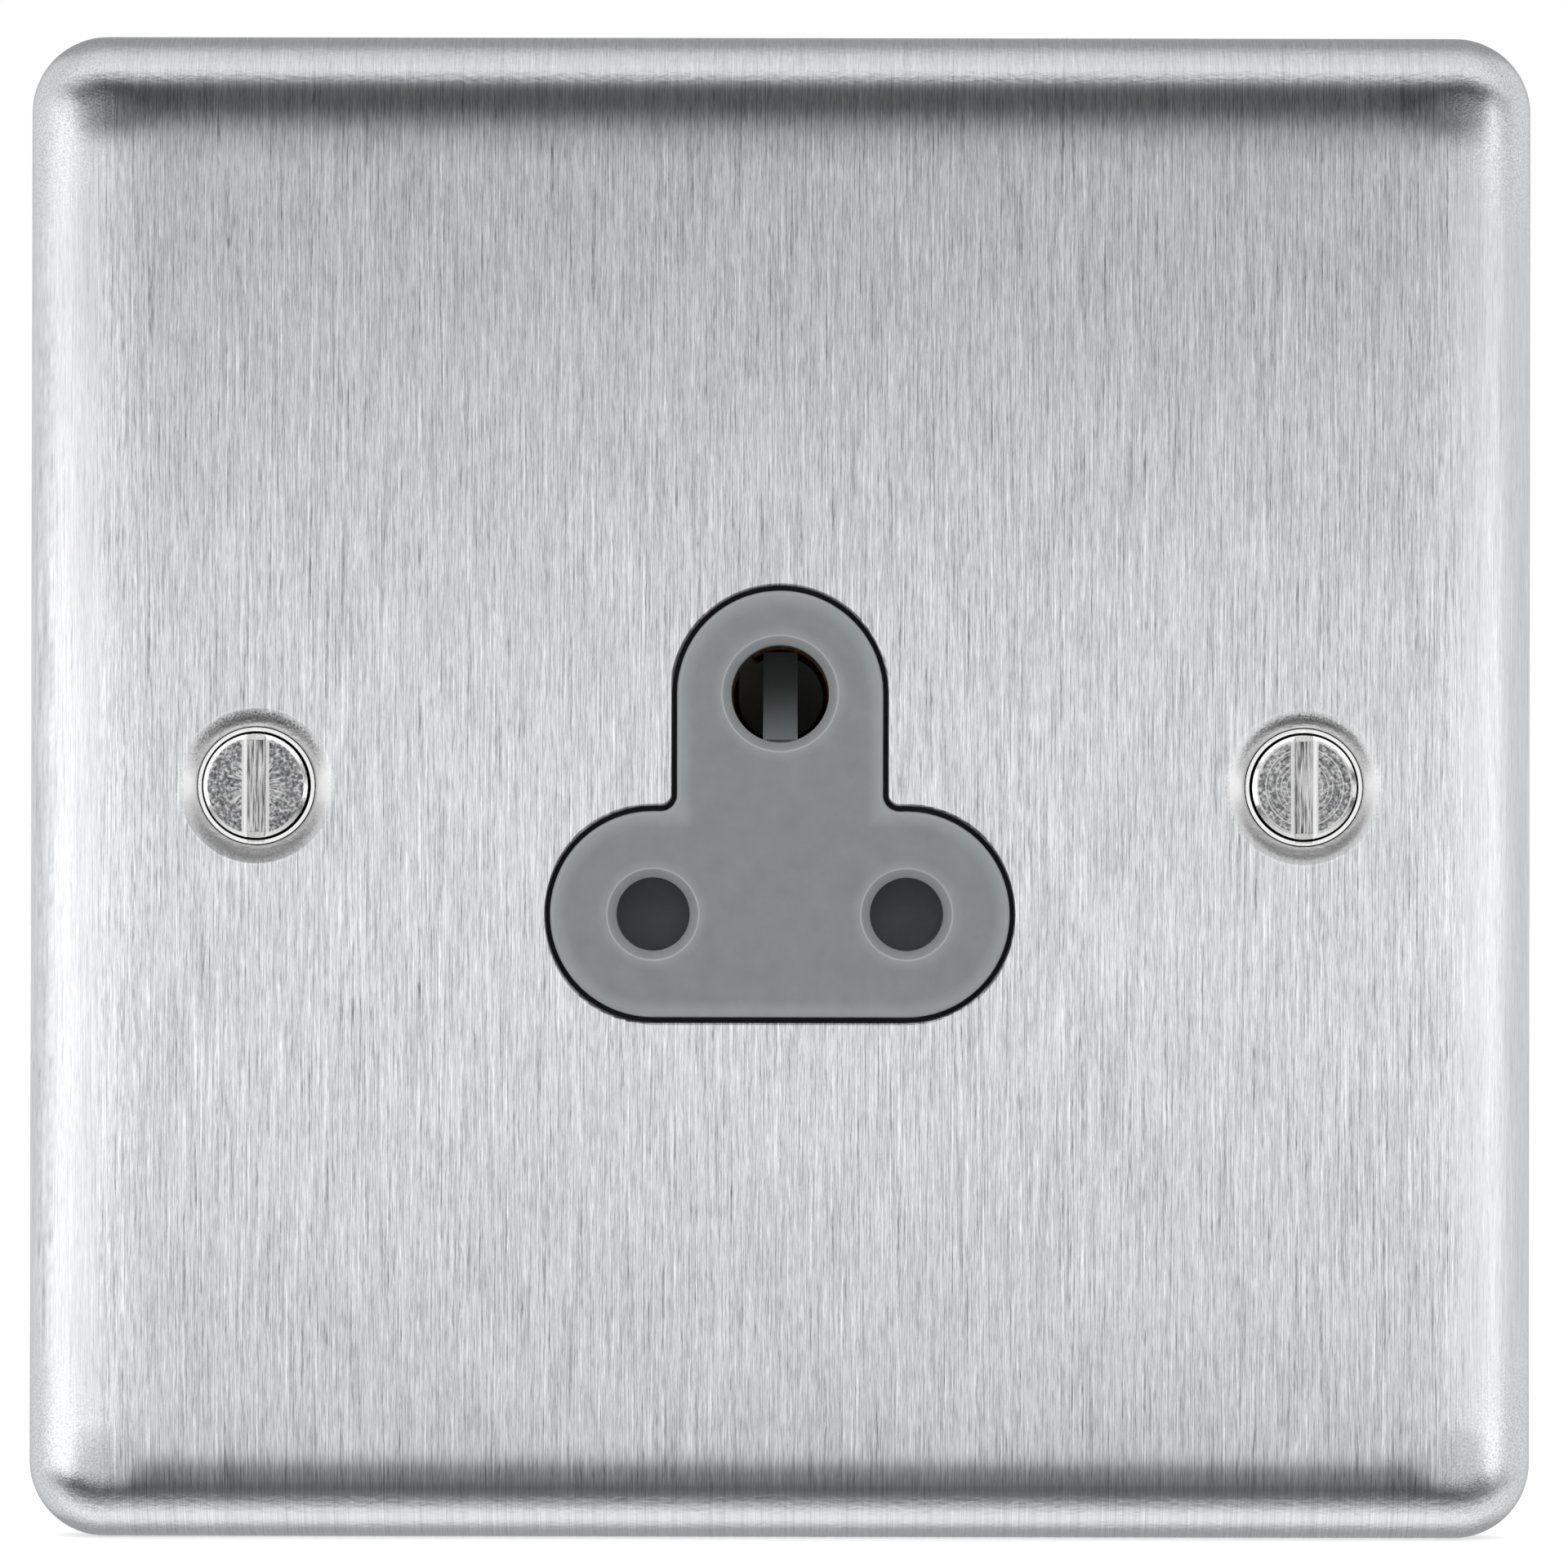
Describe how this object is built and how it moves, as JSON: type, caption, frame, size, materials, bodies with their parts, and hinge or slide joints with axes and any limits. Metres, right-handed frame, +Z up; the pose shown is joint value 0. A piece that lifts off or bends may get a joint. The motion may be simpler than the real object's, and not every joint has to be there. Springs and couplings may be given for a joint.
{
  "type": "round pin wall socket",
  "caption": "Square brushed steel wall plate with a shuttered socket for three round plug pins, held by slotted screws; the shutter slides down as the earth pin enters.",
  "frame": {"origin": "centre of the plate in the plane of the wall, where the plate's rim rests", "axes": "+X to the right seen from the front, +Y back into the wall, +Z up"},
  "size_m": [0.087, 0.0257, 0.087],
  "materials": {
    "brushed_stainless": "vertical brushing",
    "nickel_plate": "bright, turned",
    "grey_moulding": "satin",
    "pale_moulding": "satin",
    "black_liner": "matt",
    "brass": "plain",
    "zinc_plate": "bright",
    "spring_steel": "drawn"
  },
  "bodies": {
    "socket": {"front_plate": "brushed_stainless", "fixing_screws": "nickel_plate", "socket_front": "grey_moulding", "rear_housing": "pale_moulding", "insulating_liner": "black_liner", "line_contact": "brass", "neutral_contact": "brass", "earth_contact": "brass", "line_terminal": "brass", "neutral_terminal": "brass", "earth_terminal": "brass", "contact_rivets": "brass", "earth_strap": "brass", "terminal_screws": "zinc_plate", "housing_screws": "zinc_plate", "plate_studs": "zinc_plate", "stud_nuts": "zinc_plate", "shutter_spring": "spring_steel"},
    "slider": {"shutter": "grey_moulding"}
  },
  "joints": [
    {"name": "shutter_slide", "type": "slide", "parent": "socket", "child": "slider", "axis": [0, 0, -1], "range_m": [0, 0.0052], "stiffness_N_per_m": 200, "springref_m": -0.004, "deforming": ["shutter_spring"]}
  ]
}
